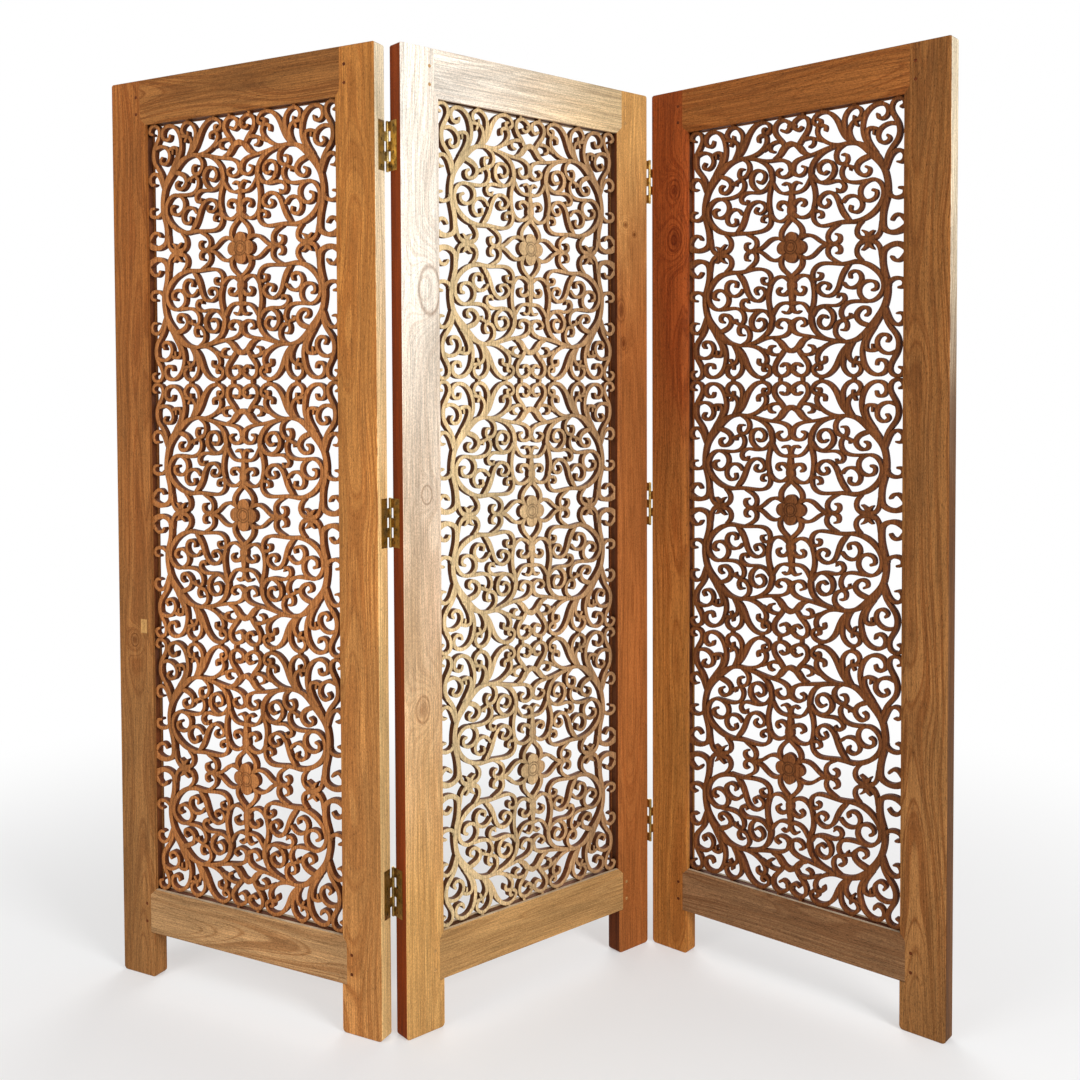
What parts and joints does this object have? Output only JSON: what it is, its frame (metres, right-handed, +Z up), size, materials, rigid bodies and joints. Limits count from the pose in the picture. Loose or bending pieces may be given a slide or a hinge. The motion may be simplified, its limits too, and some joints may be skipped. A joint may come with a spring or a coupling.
{
  "type": "folding screen",
  "caption": "Free-standing folding screen: hinged wooden panels in a zigzag, each a pegged frame round pierced boards of carved scrollwork.",
  "frame": {"origin": "on the floor, under the centre of the standing screen's bounding box", "axes": "+Z up along the panels' height, X along the row of panels with the left panel at -X, +Y from the front of the screen to its back"},
  "size_m": [1.591, 0.4406, 1.8],
  "materials": {
    "teak_frame": "satin, oiled",
    "teak_carving": "satin, oiled",
    "teak_peg": "satin, oiled",
    "aged_brass": "aged",
    "steel_screw": "dull"
  },
  "bodies": {
    "centre_panel": {"centre_panel_bottom_rail": "teak_frame", "centre_panel_left_stile": "teak_frame", "centre_panel_lower_jali": "teak_carving", "centre_panel_middle_jali": "teak_carving", "centre_panel_pegs": "teak_peg", "centre_panel_right_stile": "teak_frame", "centre_panel_top_rail": "teak_frame", "centre_panel_upper_jali": "teak_carving", "left_lower_hinge_centre_leaf": "aged_brass", "left_lower_hinge_centre_screws": "steel_screw", "left_lower_hinge_pin": "aged_brass", "left_middle_hinge_centre_leaf": "aged_brass", "left_middle_hinge_centre_screws": "steel_screw", "left_middle_hinge_pin": "aged_brass", "left_upper_hinge_centre_leaf": "aged_brass", "left_upper_hinge_centre_screws": "steel_screw", "left_upper_hinge_pin": "aged_brass", "right_lower_hinge_centre_leaf": "aged_brass", "right_lower_hinge_centre_screws": "steel_screw", "right_lower_hinge_pin": "aged_brass", "right_middle_hinge_centre_leaf": "aged_brass", "right_middle_hinge_centre_screws": "steel_screw", "right_middle_hinge_pin": "aged_brass", "right_upper_hinge_centre_leaf": "aged_brass", "right_upper_hinge_centre_screws": "steel_screw", "right_upper_hinge_pin": "aged_brass"},
    "left_panel": {"left_lower_hinge_outer_leaf": "aged_brass", "left_lower_hinge_outer_screws": "steel_screw", "left_middle_hinge_outer_leaf": "aged_brass", "left_middle_hinge_outer_screws": "steel_screw", "left_panel_bottom_rail": "teak_frame", "left_panel_left_stile": "teak_frame", "left_panel_lower_jali": "teak_carving", "left_panel_middle_jali": "teak_carving", "left_panel_pegs": "teak_peg", "left_panel_right_stile": "teak_frame", "left_panel_top_rail": "teak_frame", "left_panel_upper_jali": "teak_carving", "left_upper_hinge_outer_leaf": "aged_brass", "left_upper_hinge_outer_screws": "steel_screw"},
    "right_panel": {"right_lower_hinge_outer_leaf": "aged_brass", "right_lower_hinge_outer_screws": "steel_screw", "right_middle_hinge_outer_leaf": "aged_brass", "right_middle_hinge_outer_screws": "steel_screw", "right_panel_bottom_rail": "teak_frame", "right_panel_left_stile": "teak_frame", "right_panel_lower_jali": "teak_carving", "right_panel_middle_jali": "teak_carving", "right_panel_pegs": "teak_peg", "right_panel_right_stile": "teak_frame", "right_panel_top_rail": "teak_frame", "right_panel_upper_jali": "teak_carving", "right_upper_hinge_outer_leaf": "aged_brass", "right_upper_hinge_outer_screws": "steel_screw"}
  },
  "joints": [
    {"name": "left_fold", "type": "hinge", "parent": "centre_panel", "child": "left_panel", "pos_m": [-0.22014, -0.17148, 0.9425], "axis": [0, 0, 1], "range_deg": [-113.3, 66.7]},
    {"name": "right_fold", "type": "hinge", "parent": "centre_panel", "child": "right_panel", "pos_m": [0.29877, 0.19262, 0.9425], "axis": [0, 0, 1], "range_deg": [-99.5, 80.5]}
  ]
}
